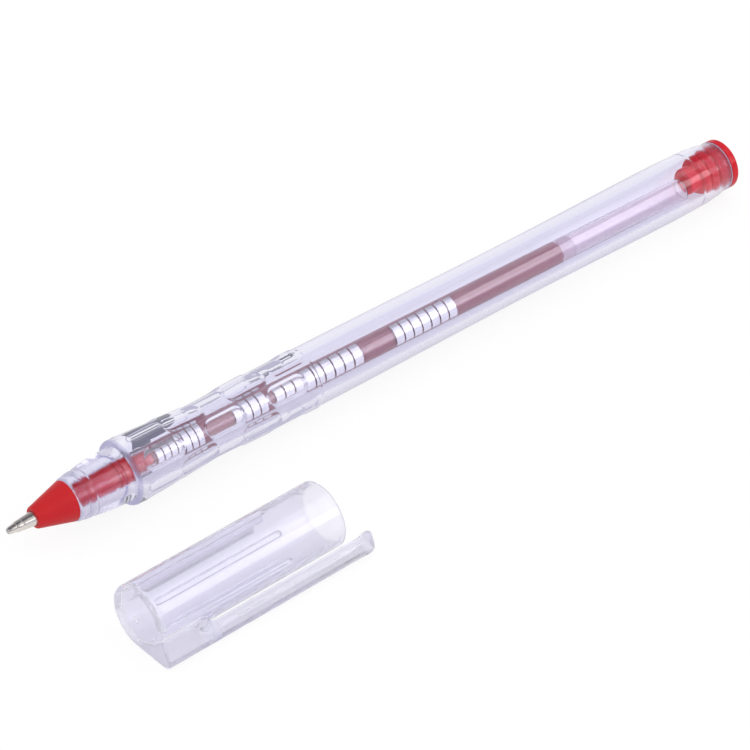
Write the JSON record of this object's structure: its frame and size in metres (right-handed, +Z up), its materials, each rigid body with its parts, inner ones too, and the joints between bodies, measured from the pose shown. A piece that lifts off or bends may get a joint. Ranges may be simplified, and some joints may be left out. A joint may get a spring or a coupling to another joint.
{
  "type": "ballpoint pen",
  "caption": "Clear-bodied stick ballpoint pen with a dimpled grip, red cone and tail plug, visible ink tube, and a clear clip cap lying beside it.",
  "frame": {"origin": "on the table, under the middle of the pen and the cap beside it", "axes": "+X along the lying pen from its tip to its tail, +Z up from the table, cap on the -Y side"},
  "size_m": [0.143, 0.0398, 0.0107],
  "materials": {
    "clear_plastic": "gloss",
    "red_translucent": "gloss",
    "red_plastic": "gloss",
    "nickel_silver": "satin",
    "polished_ball": "polished",
    "clear_tube": "satin",
    "ink": "satin",
    "follower_grease": "satin"
  },
  "bodies": {
    "barrel": {"barrel": "clear_plastic", "tail_plug": "red_translucent"},
    "refill": {"nose_cone": "red_plastic", "point_body": "nickel_silver", "refill_tube": "clear_tube", "ink_column": "ink", "ink_follower": "follower_grease"},
    "writing_ball": {"writing_ball": "polished_ball"},
    "cap": {"cap": "clear_plastic"}
  },
  "joints": [
    {"name": "cap_slide", "type": "slide", "parent": "barrel", "child": "cap", "axis": [-0.9997, -0.0227, 0], "range_m": [-0.02, 0.06]},
    {"name": "refill_slide", "type": "slide", "parent": "barrel", "child": "refill", "axis": [-0.9999, 0, 0.0156], "range_m": [0, 0.125]},
    {"name": "ball_roll", "type": "hinge", "parent": "refill", "child": "writing_ball", "pos_m": [-0.07111, 0.01452, 0.00546], "axis": [0, 1, 0], "continuous": true}
  ]
}
